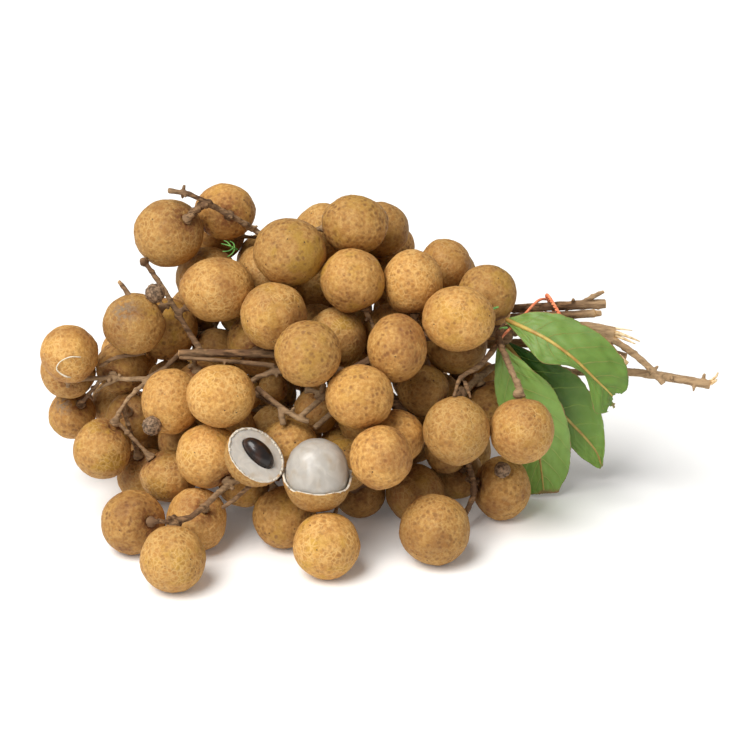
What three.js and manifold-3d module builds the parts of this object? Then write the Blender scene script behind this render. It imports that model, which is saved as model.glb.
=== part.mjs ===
// A bunch of longans, picked and lying on its side: a heap of round fruits on branching twigs,
// with three leaves, the cut ends of its stalks tied with twine, one fruit peeled down to its
// flesh and one cut in half to its seed. Millimetres, +Z up, the stalks towards +X.
import * as THREE from 'three';
import { mergeVertices } from 'three/addons/utils/BufferGeometryUtils.js';
import Module from 'manifold-3d';

const wasm = await Module();
wasm.setup();

// ---- Driving dimensions ----
const FACE_LEAN = 25; // degrees that the front of the heap leans back
const FACE_HEIGHT = 61; // height of the middle of that front
const AIR = 0.4; // gap kept between neighbours
const FLATTENED = 0.4; // how much of a husk is pressed flat where it rests
const BACK_FRUIT = 25; // usual diameter of a fruit at the back
const BACK_VARIES = 1.5; // how much larger or smaller one of those can be
const STEM_RADIUS = 1.0; // a fruit's own stem
const STEM_DEPTH = 1.5; // how far it runs into a fruit that is one with its branch
const STEM_SIDES = 4;
const LIMB_SIDES = 6;
const HUSK = 0.9; // thickness of an opened fruit's husk
const LEAF_THICKNESS = 0.8;
const BLADE_STEPS = 10; // along a leaf
const BLADE_STRIPS = 4; // across it
const BLADE_END = 0.02; // share of its length left off at either end, so that neither closes to a point
const TWINE_RADIUS = 0.7;

// ---- How the heap settles, and how a stem's way is chosen ----
const FIRST_ROUNDS = 160;
const STEM_ROUNDS = 8;
const ROUNDS_BETWEEN = 30;
const SIDEWAYS = 0.3; // how readily a fruit moves across the front, where 1 is in or out of it
const LEAST_EASE = 0.05;
const PRESSED_COST = 12; // for each millimetre that a stem would run into a fruit
const STEM_CROSSED = 4; // a stem of another branch in the way, in the same millimetres
const LIMB_CROSSED = 8;

// ---- Colours ----
const paint = (color, roughness) => new THREE.MeshStandardMaterial({ color, roughness, metalness: 0 });
const HUSK_TAN = paint(0xc79a55, 0.8);
const INNER_HUSK = paint(0xe6d9bd, 0.7);
const FLESH = paint(0xd4d0c4, 0.25);
const SEED_BROWN = paint(0x1c0f0a, 0.12);
const BARK = paint(0x8a6b4c, 0.85);
const LEAF_GREEN = paint(0x8bab62, 0.5);
const DEEP_GREEN = paint(0x35591a, 0.45);
const TWINE_CORAL = paint(0xe8734a, 0.6);

// ---- The leaning front, on which what is seen from the front is laid out ----
// Each place there is [right, up the slope, out of it].
const lean = THREE.MathUtils.degToRad(FACE_LEAN);
const RIGHT = new THREE.Vector3(1, 0, 0);
const SLOPE = new THREE.Vector3(0, Math.sin(lean), Math.cos(lean));
const OUT = new THREE.Vector3(0, -Math.cos(lean), Math.sin(lean));
const UP = new THREE.Vector3(0, 0, 1);
const leaning = new THREE.Matrix4().makeBasis(RIGHT, SLOPE, OUT);
const upright = new THREE.Matrix4().makeBasis(RIGHT, UP, new THREE.Vector3(0, -1, 0));

function direction([right, up, out]) {
  return new THREE.Vector3(right, up, out).applyMatrix4(leaning);
}

function at(place) {
  return direction(place).add(new THREE.Vector3(0, 0, FACE_HEIGHT));
}

// ---- Fruits: [right, up, out, width, height] on the leaning front ----
const crownFruits = [
  [-83, 57, -12, 28, 27.5], [-63, 64, -26, 25, 23], [-67, 43, -32, 26, 26], [-60, 34, -5, 30, 26],
  [-34, 48, 0, 29, 27], [-22, 53, -33, 24, 24], [-9, 60, -12, 27, 24], [11, 45, -34, 24, 24],
  [-9, 37, 4, 25.5, 25.5], [15, 37, -5, 24, 26.5], [45, 31, -14, 24, 23.5], [33, 22, 11, 29, 26],
  [34, 12, -15, 26, 25], [8, 10, 14, 23.5, 27], [-15, 14, 0, 24, 24], [-26.5, 9, 23, 26, 26],
  [-40, 23, 12, 26.5, 26.5],
];
const leftFruits = [
  [-122, 8, 0, 23, 23], [-123, 1, -22, 22.5, 22.5], [-119, -13, -38, 19.5, 21], [-108, -27, -4, 23, 24],
  [-100, -16, -22, 21, 21], [-96, 20, -2, 25, 24.5], [-86, 11, -23, 25.5, 25.5], [-80, -10, 1, 23.5, 26],
  [-61, -9, 18, 27, 25], [-51, 12, -12, 25, 25], [-92, -39, -22, 22.5, 22.5], [-83, -41, -2, 22.5, 21],
  [-65, -34, 12, 25.5, 25.5],
];
const rightFruits = [
  [-32, -30, 2, 24, 22.5], [-16, -33, 4, 21.5, 21.5], [-6, -8, 24, 27, 25], [2, -31, 30, 24.5, 25],
  [32, -22, 16, 26.5, 27], [44, -3, -24, 20, 21.5], [58, -22, 12, 25.5, 26.5],
];
// Those of the bottom row carry the bunch on the surface.
const restingFruits = [
  [-95, -54, 10, 25.5, 25.5], [-78, -67.5, 30, 25.5, 26], [-71, -57, 10, 24, 26], [-37, -55, 4, 25.5, 25],
  [-19, -66, 27, 26, 26], [23.5, -61, 18, 28, 28], [50, -46, -14, 23, 26.5], [16, -48, -14, 24, 24],
  [-6, -50, -11, 21, 21],
];
// Half hidden between the others, and grown in one body with the branch that they hang on.
const innerFruits = [
  [-42, 50, -31, 26, 26], [3, 54, -34, 23, 23], [25, 42, -22, 21, 21], [8, 17, -14, 25, 25],
  [-108, -7, -42, 20, 20], [-96, 4, -19, 21.5, 21.5], [-74, 19, -44, 22.5, 22.5], [-71, 12, -26, 20, 20],
  [-71, -4, -16, 21.5, 21.5], [-81, -29, -20, 19, 19], [-96, -22, -38, 22, 22], [-51, -43, -2, 21, 21],
  [-39, -22, -18, 21.5, 21.5], [-20, -16, -10, 19, 19], [8, -24, 6, 21.5, 21.5], [21, -4, -14, 21, 21],
  [34, -40, -32, 21.5, 21.5], [-9, -20, -4, 21, 21],
];
// The far side of the heap, in plain [x, y, z].
const backFruits = [
  [-64, 58, 95], [-42, 58, 86], [-20, 60, 84], [4, 60, 87], [26, 54, 76], [44, 40, 64],
  [-84, 54, 56], [-62, 64, 72], [-38, 66, 64], [-14, 66, 60], [10, 64, 64], [33, 54, 54],
  [-104, 42, 42], [-100, 44, 20], [-76, 58, 34], [-52, 64, 46], [-28, 64, 38], [-4, 64, 38], [20, 58, 38],
  [42, 42, 36],
];
const backResting = [[-82, 44, 12], [-58, 52, 12], [-34, 50, 12], [-10, 50, 12], [14, 46, 12], [36, 32, 12]];

// ---- Wood: each branch is a list of [radius at its start, radius at its end, its points] ----
const branches = {
  upper_branch: [
    [2.2, 2.0, [[94, 29, -18], [74, 28, -18], [56, 27, -20]]],
    [2.0, 1.5, [[56, 27, -20], [42, 34, -32], [22, 36, -46], [-8, 42, -50], [-34, 54, -44], [-46, 57, -17]]],
    [1.4, 1.2, [[-46, 57, -17], [-54, 62, -9], [-60, 65, -7], [-67, 69, -4], [-73, 72, -2], [-83, 74, -2]]],
    [1.2, 0.8, [[82, 28.5, -18], [88, 31.5, -16], [93, 34, -15]]],
  ],
  second_branch: [
    [1.9, 1.8, [[89, 25, -12], [72, 24, -12], [55, 23.5, -13]]],
  ],
  middle_branch: [
    [2.8, 2.6, [[97, 17, -12], [88, 19, -12], [53, 18, -12]]],
    [1.6, 1.4, [[94, 16, -12], [104, 9, -11], [112, 2, -10], [116.5, -3.5, -10]]],
    [1.2, 1.0, [[92.5, 17, -12], [92, 12, -11]]],
    [2.4, 1.8, [[53, 18, -12], [36, 17, -3], [8, 13, -1], [-10, 1, 4], [-24, 4, 4], [-40, 8.5, -1]]],
    [1.7, 1.5, [[-40, 8.5, -1], [-58, 9, -2], [-78, 9, -4]]],
    [1.3, 1.1, [[-70, 10, -3], [-79, 24, -6], [-84, 33, -6], [-93, 46, -6]]],
    [1.2, 1.0, [[-78, 9, -4], [-90, -1, -4], [-111, -1, -8], [-125, -2.5, -6]]],
    [1.0, 0.9, [[-90, -1, -4], [-100, -11, 0], [-104, -19, 2]]],
    [1.3, 1.1, [[-24, 4, 4], [-38, 2, 4], [-51, -4, 4], [-37, -13, 10], [-30, -17, 12], [-26, -18.5, 12]]],
    [1.5, 1.3, [[53, 18, -12], [49, 16, 4], [54, 2, 8], [58, -7, 9]]],
  ],
  lower_branch: [
    [2.0, 1.7, [[136, -4, -14], [114, 0, -16], [100, 1.5, -19], [80, 1, -22]]],
    [1.7, 1.5, [
      [80, 1, -22], [66, 5, -26], [52, 5, -31], [33, -10, -12], [8, -38, -6], [-12, -46, -6], [-34, -40, -8],
    ]],
    [1.5, 1.3, [[-34, -40, -8], [-53, -41, 12], [-59, -44, 18], [-71, -55, 28], [-79, -57, 32]]],
    [1.1, 1.0, [[33, -10, -12], [34, -5, -3], [36, -8, 0]]],
    [1.2, 0.9, [[33, -10, -12], [38, -35, -12], [40, -46, -10], [36, -57, -8]]],
  ],
  back_branch: [
    [2.0, 1.9, [[102.5, 7, -19], [84, 12, -21], [66, 13, -24], [52, 13, -30], [36, 12, -38], [8, 16, -42]]],
    [1.9, 1.4, [[8, 16, -42], [-20, 18, -42], [-50, 18, -40], [-80, 16, -38], [-104, 8, -34]]],
    [1.8, 1.4, [
      [36, 12, -38], [16, -8, -44], [-10, -14, -48], [-40, -14, -50], [-70, -14, -48], [-94, -14, -54],
    ]],
  ],
};

// ---- Opened fruits ----
const peeled = { place: [-22.5, -38.5, 25], width: 25, height: 28, rimBelow: 1, rimFacing: [0.05, 1, 0.35] };
const halved = { place: [-46, -31, 30], width: 23, cutFacing: [0.52, 0.52, 0.68] };
const seed = { shift: [1.4, 1.4, 0], along: [0.7071, -0.7071, 0], halves: [7.75, 5, 5] };

// ---- Leaves: the two edges and the rib between them ----
const leaves = {
  top_leaf: {
    paint: LEAF_GREEN,
    upper: [[53.5, 22.5, -3], [62, 25, 1], [75, 24, 3], [90, 16, 5], [99, 6, 5], [101, -4, 3], [97, -9, 1]],
    rib: [[53, 22, -3], [62, 17.5, 5], [70, 13, 8], [80, 5.5, 9], [88, -2, 6], [93, -6.5, 3], [96, -9.5, 0]],
    lower: [[52.5, 21.5, -3], [60, 12, 7], [66, 5, 10], [77, 3.5, 9], [84, -1, 5], [88, -15, 3], [96, -13, -1]],
  },
  front_leaf: {
    paint: LEAF_GREEN,
    upper: [[50, 13, -4], [61, 4, -2], [72, -6, -6], [79, -22, -17], [80, -38, -30], [76, -48.5, -35]],
    rib: [[49.5, 12.5, -4], [55, 2, -4], [61, -12, -6], [65, -24, -14], [68, -37, -26], [70, -49, -35]],
    lower: [[49, 12, -4], [48, -4, -4], [51, -18, -8], [56, -35, -27], [60, -48, -37], [65, -49.5, -35]],
  },
  back_leaf: {
    paint: DEEP_GREEN,
    upper: [[53, 14, -9], [68, 7, -12], [82, 0, -16], [92, -14, -24], [95, -27, -34], [95, -38, -43]],
    rib: [[52.5, 13.5, -10], [62, 2, -14], [74, -13, -21], [86, -25, -31], [92, -32, -38], [94.5, -38, -43]],
    lower: [[52, 13, -11], [57, -4, -18], [68, -18, -25], [80, -29, -34], [88, -36, -41], [94, -39, -43.5]],
  },
};

// ---- Twine: one turn, longer along [right, up, out] and less deep out of the front ----
const twine = { place: [77, 20, -18], along: [-0.489, 0.872, 0], halfLength: 14.3, halfDepth: 10 };

// ---- Solids ----
function toSolid(geometry) {
  const bare = geometry.clone();
  bare.deleteAttribute('normal');
  bare.deleteAttribute('uv');
  const merged = mergeVertices(bare, 1e-3);
  const vertProperties = new Float32Array(merged.attributes.position.array);
  const triVerts = new Uint32Array(merged.index.array);
  return new wasm.Manifold(new wasm.Mesh({ numProp: 3, vertProperties, triVerts }));
}

function toGeometry(solid) {
  const mesh = solid.getMesh();
  const geometry = new THREE.BufferGeometry();
  geometry.setAttribute('position', new THREE.BufferAttribute(new Float32Array(mesh.vertProperties), 3));
  geometry.setIndex(new THREE.BufferAttribute(new Uint32Array(mesh.triVerts), 1));
  geometry.computeVertexNormals();
  return geometry;
}

function egg(centre, halves, detail, turn = leaning) {
  const geometry = new THREE.IcosahedronGeometry(1, detail);
  geometry.scale(halves.x, halves.y, halves.z);
  geometry.applyMatrix4(turn);
  geometry.translate(centre.x, centre.y, centre.z);
  return geometry;
}

// A slab whose face is at a point, turned by its normal, filling the side that the normal points to.
function slab(point, normal, reach) {
  const geometry = new THREE.BoxGeometry(reach, reach, reach);
  geometry.translate(0, 0, reach / 2);
  const turn = new THREE.Quaternion().setFromUnitVectors(new THREE.Vector3(0, 0, 1), normal);
  geometry.applyQuaternion(turn);
  geometry.translate(point.x, point.y, point.z);
  return toSolid(geometry);
}

const surface = slab(new THREE.Vector3(0, 0, 0), UP.clone().negate(), 600);

// A tapering round limb, bent along its path in a given number of steps.
function limb({ path, steps, radiusFrom, radiusTo, sides }) {
  const frames = path.computeFrenetFrames(steps);
  const geometry = new THREE.CylinderGeometry(radiusTo, radiusFrom, steps, sides, steps);
  const place = geometry.attributes.position;
  for (let i = 0; i < place.count; i += 1) {
    const step = Math.round(place.getY(i) + steps / 2);
    const point = path.getPointAt(step / steps);
    point.addScaledVector(frames.normals[step], place.getX(i));
    point.addScaledVector(frames.binormals[step], -place.getZ(i));
    place.setXYZ(i, point.x, point.y, point.z);
  }
  return toSolid(geometry);
}

// ---- The heap: fruits are moved apart, mostly in or out of the front, until none overlap ----
function halfExtent(fruit, way) {
  const own = way.clone().applyMatrix4(fruit.turn.clone().transpose());
  return own.multiply(fruit.halves).length();
}

function frontFruit([right, up, out, width, height]) {
  const depth = (width + height) / 2;
  const halves = new THREE.Vector3(width, height, depth).divideScalar(2);
  return { centre: at([right, up, out]), halves, turn: leaning };
}

function backFruit([x, y, z], number) {
  const width = BACK_FRUIT + BACK_VARIES * Math.sin(number * 2.4);
  const halves = new THREE.Vector3(width, width * 0.95, width).divideScalar(2);
  return { centre: new THREE.Vector3(x, y, z), halves, turn: leaning };
}

const rest = (fruit) => ({ ...fruit, turn: upright, rests: true });
const join = (fruit) => ({ ...fruit, joined: true });
const fruits = [
  ...[...crownFruits, ...leftFruits, ...rightFruits].map(frontFruit),
  ...restingFruits.map(frontFruit).map(rest),
  ...innerFruits.map(frontFruit).map(join),
  ...backFruits.map(backFruit).map(join),
  ...backResting.map(backFruit).map(join).map(rest),
];
const opened = [peeled, halved].map(({ place, width, height = width }) => ({
  ...frontFruit([...place, width + 2 * HUSK, height + 2 * HUSK]),
  fixed: true,
}));

const limbs = Object.entries(branches).flatMap(([branch, paths]) => (
  paths.map(([radiusFrom, radiusTo, places]) => ({
    branch,
    path: new THREE.CatmullRomCurve3(places.map(at)),
    steps: 2 * (places.length - 1),
    radiusFrom,
    radiusTo,
    sides: LIMB_SIDES,
  }))
));

// The same wood as straight lengths, to keep the fruits off it.
const wood = limbs.flatMap(({ branch, path, steps, radiusFrom, radiusTo }) => {
  const points = path.getSpacedPoints(steps);
  const radius = Math.max(radiusFrom, radiusTo);
  return points.slice(1).map((to, i) => ({ branch, line: new THREE.Line3(points[i], to), radius }));
});

// Moves a body along a way, but more readily in or out of the front than across it.
function shove(body, way, distance, share) {
  const easy = way.clone().multiplyScalar(SIDEWAYS).addScaledVector(OUT, (1 - SIDEWAYS) * way.dot(OUT));
  body.centre.addScaledVector(easy, (share * distance) / Math.max(easy.dot(way), LEAST_EASE));
}

function putOnSurface(fruit) {
  const lowest = halfExtent(fruit, UP) + (fruit.rests ? -FLATTENED : AIR);
  fruit.centre.z = fruit.rests ? lowest : Math.max(fruit.centre.z, lowest);
}

function partPair(one, other) {
  const way = other.centre.clone().sub(one.centre);
  const apart = way.length();
  way.divideScalar(apart);
  const overlap = halfExtent(one, way) + halfExtent(other, way) + AIR - apart;
  if (overlap <= 0) return;
  const moving = one.fixed || other.fixed ? 1 : 0.5;
  if (!one.fixed) shove(one, way.clone().negate(), overlap, moving);
  if (!other.fixed) shove(other, way, overlap, moving);
}

function clearRod(fruit, rodLine, radius) {
  const nearest = rodLine.closestPointToPoint(fruit.centre, true, new THREE.Vector3());
  const way = fruit.centre.clone().sub(nearest);
  const apart = way.length();
  way.divideScalar(apart);
  const overlap = halfExtent(fruit, way) + radius + AIR - apart;
  if (overlap > 0) shove(fruit, way, overlap, 1);
}

function settle(rounds) {
  const bodies = [...fruits, ...opened];
  for (let round = 0; round < rounds; round += 1) {
    for (let i = 0; i < bodies.length; i += 1) {
      for (let j = i + 1; j < bodies.length; j += 1) partPair(bodies[i], bodies[j]);
    }
    for (const fruit of fruits) {
      for (const piece of wood) clearRod(fruit, piece.line, piece.radius);
      for (const other of fruits) {
        if (other !== fruit && other.stem) clearRod(fruit, other.stem.line, STEM_RADIUS);
      }
      putOnSurface(fruit);
    }
  }
}

// ---- Stems: each fruit hangs on the clearest short way to a branch ----
function stemFrom(fruit, start, branch) {
  const way = start.clone().sub(fruit.centre).normalize();
  const own = way.clone().applyMatrix4(fruit.turn.clone().transpose());
  const reach = 1 / own.divide(fruit.halves).length();
  const stop = reach + (fruit.joined ? -STEM_DEPTH : AIR);
  return { branch, line: new THREE.Line3(start.clone(), fruit.centre.clone().addScaledVector(way, stop)) };
}

function blocked(fruit, stem) {
  let worst = 0;
  const nearest = new THREE.Vector3();
  for (const other of [...fruits, ...opened]) {
    if (other === fruit) continue;
    stem.line.closestPointToPoint(other.centre, true, nearest);
    const way = other.centre.clone().sub(nearest);
    const apart = way.length();
    worst += Math.max(0, halfExtent(other, way.divideScalar(apart)) + STEM_RADIUS + AIR - apart);
  }
  for (const rival of fruits) {
    if (rival === fruit || !rival.stem || rival.stem.branch === stem.branch) continue;
    if (lineGap(stem.line, rival.stem.line) < 2 * STEM_RADIUS + AIR) worst += STEM_CROSSED;
  }
  for (const piece of wood) {
    if (piece.branch === stem.branch) continue;
    if (lineGap(stem.line, piece.line) < STEM_RADIUS + piece.radius + AIR) worst += LIMB_CROSSED;
  }
  return worst;
}

function lineGap(one, other) {
  let gap = Infinity;
  const point = new THREE.Vector3();
  const nearest = new THREE.Vector3();
  for (let step = 0; step <= 24; step += 1) {
    one.at(step / 24, point);
    other.closestPointToPoint(point, true, nearest);
    gap = Math.min(gap, point.distanceTo(nearest));
  }
  return gap;
}

function growStems() {
  for (const fruit of fruits) {
    let best = Infinity;
    for (const piece of wood) {
      for (const part of [0.2, 0.5, 0.8]) {
        const start = piece.line.at(part, new THREE.Vector3());
        const length = start.distanceTo(fruit.centre);
        if (length >= best) continue;
        const stem = stemFrom(fruit, start, piece.branch);
        const cost = length + PRESSED_COST * blocked(fruit, stem);
        if (cost < best) {
          best = cost;
          fruit.stem = stem;
        }
      }
    }
  }
}

settle(FIRST_ROUNDS);
for (let round = 0; round < STEM_ROUNDS; round += 1) {
  growStems();
  settle(ROUNDS_BETWEEN);
}
for (const fruit of fruits) fruit.stem = stemFrom(fruit, fruit.stem.line.start, fruit.stem.branch);

// ---- The pieces ----
const bunch = new THREE.Group();
let fruitCount = 0;

function addPiece(name, geometry, material) {
  const mesh = new THREE.Mesh(geometry, material);
  mesh.name = name;
  bunch.add(mesh);
}

for (const fruit of fruits.filter(({ joined }) => !joined)) {
  fruitCount += 1;
  const whole = egg(fruit.centre, fruit.halves, 1, fruit.turn);
  const geometry = fruit.rests ? toGeometry(toSolid(whole).subtract(surface)) : whole;
  addPiece(`fruit_${String(fruitCount).padStart(2, '0')}`, geometry, HUSK_TAN);
}

for (const branch of Object.keys(branches)) {
  let body = null;
  const grow = (solid) => {
    body = body ? body.add(solid) : solid;
  };
  for (const each of limbs) {
    if (each.branch === branch) grow(limb(each));
  }
  for (const fruit of fruits.filter(({ stem }) => stem.branch === branch)) {
    const path = new THREE.LineCurve3(fruit.stem.line.start, fruit.stem.line.end);
    grow(limb({ path, steps: 1, radiusFrom: STEM_RADIUS, radiusTo: STEM_RADIUS, sides: STEM_SIDES }));
    if (!fruit.joined) continue;
    const husk = toSolid(egg(fruit.centre, fruit.halves, 1, fruit.turn));
    grow(fruit.rests ? husk.subtract(surface) : husk);
  }
  addPiece(branch, toGeometry(body), BARK);
}

// The husk is torn off down to a slanting rim just below the middle.
function peeledFruit() {
  const centre = at(peeled.place);
  const flesh = new THREE.Vector3(peeled.width, peeled.height, peeled.width).divideScalar(2);
  const inside = toSolid(egg(centre, flesh.clone().addScalar(AIR), 2));
  const outside = toSolid(egg(centre, flesh.clone().addScalar(AIR + HUSK), 2));
  const rimPoint = centre.clone().addScaledVector(SLOPE, -peeled.rimBelow);
  const tornOff = slab(rimPoint, direction(peeled.rimFacing).normalize(), 80);
  addPiece('peeled_flesh', egg(centre, flesh, 2), FLESH);
  addPiece('peeled_husk', toGeometry(outside.subtract(inside).subtract(tornOff)), INNER_HUSK);
}

function seedShape(centre, facing, extra) {
  const along = direction(seed.along);
  const lying = new THREE.Matrix4().makeBasis(along, facing.clone().cross(along), facing);
  const halves = new THREE.Vector3(...seed.halves).addScalar(extra);
  return egg(centre.clone().add(direction(seed.shift)), halves, 2, lying);
}

// The cut runs through the middle, and the seed is left whole in its hollow.
function halvedFruit() {
  const centre = at(halved.place);
  const facing = direction(halved.cutFacing).normalize();
  const radius = halved.width / 2;
  const ball = (size) => toSolid(egg(centre, new THREE.Vector3(size, size, size), 2));
  const cutAway = slab(centre, facing, 60);
  const shell = ball(radius + HUSK).subtract(ball(radius));
  const flesh = ball(radius - AIR).subtract(toSolid(seedShape(centre, facing, AIR)));
  addPiece('half_husk', toGeometry(shell.subtract(cutAway)), INNER_HUSK);
  addPiece('half_flesh', toGeometry(flesh.subtract(cutAway)), FLESH);
  addPiece('seed', seedShape(centre, facing, 0), SEED_BROWN);
}

peeledFruit();
halvedFruit();

// A blade is a bent sheet: its width runs from one edge over the rib to the other.
function blade({ upper, rib, lower }) {
  const [top, middle, bottom] = [upper, rib, lower].map((line) => new THREE.CatmullRomCurve3(line.map(at)));
  const geometry = new THREE.BoxGeometry(1, 1, 1, BLADE_STEPS, BLADE_STRIPS, 1);
  const place = geometry.attributes.position;
  const pointAt = (along, across) => {
    const side = across > 0 ? top : bottom;
    return middle.getPoint(along).lerp(side.getPoint(along), Math.abs(across));
  };
  for (let i = 0; i < place.count; i += 1) {
    const along = THREE.MathUtils.clamp(place.getX(i) + 0.5, BLADE_END, 1 - BLADE_END);
    const across = place.getY(i) * 2;
    const here = pointAt(along, across);
    const tipwards = pointAt(along + BLADE_END, across).sub(pointAt(along - BLADE_END, across));
    const [nearLower, nearUpper] = [Math.max(across - 0.1, -1), Math.min(across + 0.1, 1)];
    const sideways = pointAt(along, nearUpper).sub(pointAt(along, nearLower));
    const face = tipwards.cross(sideways).normalize();
    here.addScaledVector(face, place.getZ(i) * LEAF_THICKNESS);
    place.setXYZ(i, here.x, here.y, here.z);
  }
  return geometry;
}

for (const [name, leaf] of Object.entries(leaves)) addPiece(name, blade(leaf), leaf.paint);

// The twine is wound once round the stalks, sloping along them.
function twineRing() {
  const geometry = new THREE.TorusGeometry(1, TWINE_RADIUS / twine.halfDepth, 6, 24);
  geometry.scale(twine.halfLength, twine.halfDepth, twine.halfDepth);
  const along = direction(twine.along);
  const centre = at(twine.place);
  geometry.applyMatrix4(new THREE.Matrix4().makeBasis(along, OUT, along.clone().cross(OUT)));
  geometry.translate(centre.x, centre.y, centre.z);
  return geometry;
}

addPiece('twine', twineRing(), TWINE_CORAL);

// The origin is the middle of the bunch's own box, on the surface it lies on.
const size = new THREE.Box3().setFromObject(bunch);
const middle = size.getCenter(new THREE.Vector3());
bunch.position.set(-middle.x, -middle.y, -size.min.z);

export default bunch;
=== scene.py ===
import math
import random

import bmesh
import bpy
from mathutils import Matrix, Vector, kdtree, noise


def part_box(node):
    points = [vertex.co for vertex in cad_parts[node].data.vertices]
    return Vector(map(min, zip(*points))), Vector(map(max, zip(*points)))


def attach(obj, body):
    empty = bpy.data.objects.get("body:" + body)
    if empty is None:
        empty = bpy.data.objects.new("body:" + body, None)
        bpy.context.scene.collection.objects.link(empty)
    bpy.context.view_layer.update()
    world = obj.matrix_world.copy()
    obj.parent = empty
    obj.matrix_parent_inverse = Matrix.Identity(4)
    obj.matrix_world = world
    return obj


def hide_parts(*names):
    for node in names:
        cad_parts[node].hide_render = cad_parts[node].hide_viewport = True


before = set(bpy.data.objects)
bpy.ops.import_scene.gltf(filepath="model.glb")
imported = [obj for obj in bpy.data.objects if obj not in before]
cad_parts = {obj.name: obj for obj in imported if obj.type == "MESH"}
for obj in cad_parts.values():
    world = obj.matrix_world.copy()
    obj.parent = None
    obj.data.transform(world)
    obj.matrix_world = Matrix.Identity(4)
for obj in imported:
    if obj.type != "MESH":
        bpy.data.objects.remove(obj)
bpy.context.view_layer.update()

# The looks of a bunch of longans, picked and lying on its side: mottled husks, knobbly twigs,
# veined leaves, one fruit peeled to its flesh and one cut in half to its seed.

# Lengths are in metres. Places on the front, and what a comment says, are in millimetres.
MM = 0.001
CUT_TOLERANCE = 1e-6

# ---- The leaning front of the heap, on which the CAD lays out what is seen from the front ----
FACE_LEAN = math.radians(25)
RIGHT = Vector((1, 0, 0))
SLOPE = Vector((0, math.sin(FACE_LEAN), math.cos(FACE_LEAN)))
OUT = Vector((0, -math.cos(FACE_LEAN), math.sin(FACE_LEAN)))
PEELED_PLACE = (-22.5, -38.5, 25)  # where the peeled fruit is on the front, in millimetres


def lean_vector(right, up, out):
    return (RIGHT * right + SLOPE * up + OUT * out) * MM


def middle_of(node):
    low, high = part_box(node)
    return (low + high) / 2


FRONT_MIDDLE = middle_of("peeled_flesh") - lean_vector(*PEELED_PLACE)


def at(right, up, out):
    return FRONT_MIDDLE + lean_vector(right, up, out)


# ---- What a branch node is made of ----
BRANCHES = ("upper_branch", "second_branch", "middle_branch", "lower_branch", "back_branch")
LEANING_AXES = (RIGHT, SLOPE, OUT)
UPRIGHT_AXES = (RIGHT, Vector((0, 0, 1)), Vector((0, -1, 0)))
MERGE = 2e-6
RESTING_HEIGHT = 0.0005
PRESSED_FLAT = 0.0004  # how much of a resting fruit the surface takes off it
FRUIT_FACES = 60  # a fruit in a branch has more faces than this, all of them on one egg
ROUND_ENOUGH = 0.9
STEM_SEARCH = 0.004
STEM_WIDTH = 0.0022
COLLAR = [(4.0, 0.9), (2.2, 1.05), (0.9, 1.35), (0.0, 1.9), (-0.8, 2.4), (-1.4, 2.2)]  # mm in, radius
SMALLEST_FACE = 1e-6
FACES_PER_KNOB = 9
KNOBS_PER_SPUR = 5
KNOB_RADII = (0.9, 1.4)  # millimetres
SPUR_LENGTHS = (1.2, 3.2)
BARK_VOXEL = 0.0004
BLEACHED_FROM = 0.045  # from here towards their cut ends the stalks are weathered
BLEACHED_OVER = 0.05

# ---- Fruits tucked into the hollows of the heap ----
TUCKED_SEED = 11
TUCKED_TRIES = 16000
TUCKED_LARGEST = 0.0105
TUCKED_SMALLEST = 0.006
TUCKED_BEHIND = 0.009  # how far behind the middle of the front they all are
TUCKED_GAP = 0.0003
TWIG_PRESSES_IN = 0.0022
TWIG_STEPS = 6
OPENED_RADIUS = 0.015
WALL_REACH = 0.042
WALL_AIM = 0.7  # how squarely a fruit has to stand to the side, where 1 is exactly there
FRONT_AIM = 0.86

# ---- Husk, peel, leaves and twine ----
HUSK_THICKNESS = 0.0009
FULL_SHOULDERS = 2.25
PEEL_GAP = 0.0004
LEAF_THICKNESS = 0.00035
BLADE_STEPS = (110, 56)  # along the blade and across it
RAGGED_FROM = 0.9  # how far out from the rib the blade is ragged, where 1 is its edge
EDGE_WAVE = 1.4  # millimetres, like the next two
VEIN_CUSHION = 0.2
BLADE_RIPPLE = 0.35
RIB_STEPS = 60
RIB_AT_BASE = 0.95
RIB_AT_TIP = 0.3
RIB_STANDS_OUT = 0.25
SIDE_VEINS = 9
VEIN_SWEEP = 4.2
VEIN_BEND = 1.35
TWINE_TWISTS = 26

# ---- Fruits: how finely they are made, and those that differ from the rest ----
SMALL_FINENESS, GROWN_FINENESS, OWN_FINENESS = 4, 5, 6
GOLDEN_FRUITS = {"fruit_21", "fruit_42", "fruit_05"}
RUSTY_FRUITS = {"fruit_01", "fruit_14", "fruit_38", "fruit_40", "fruit_44"}
SCARRED_FRUITS = {"fruit_23", "fruit_20"}
SCAR_WAY = OUT + SLOPE * 0.5 - RIGHT * 0.3
SCAR_SPREAD = 0.42  # radians, like the next one
RUST_SPREAD = 0.6
STEM_PLACES = {"fruit_01": (-74.8, 62.8, -1)}  # where the wood nearby doesn't tell

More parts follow.
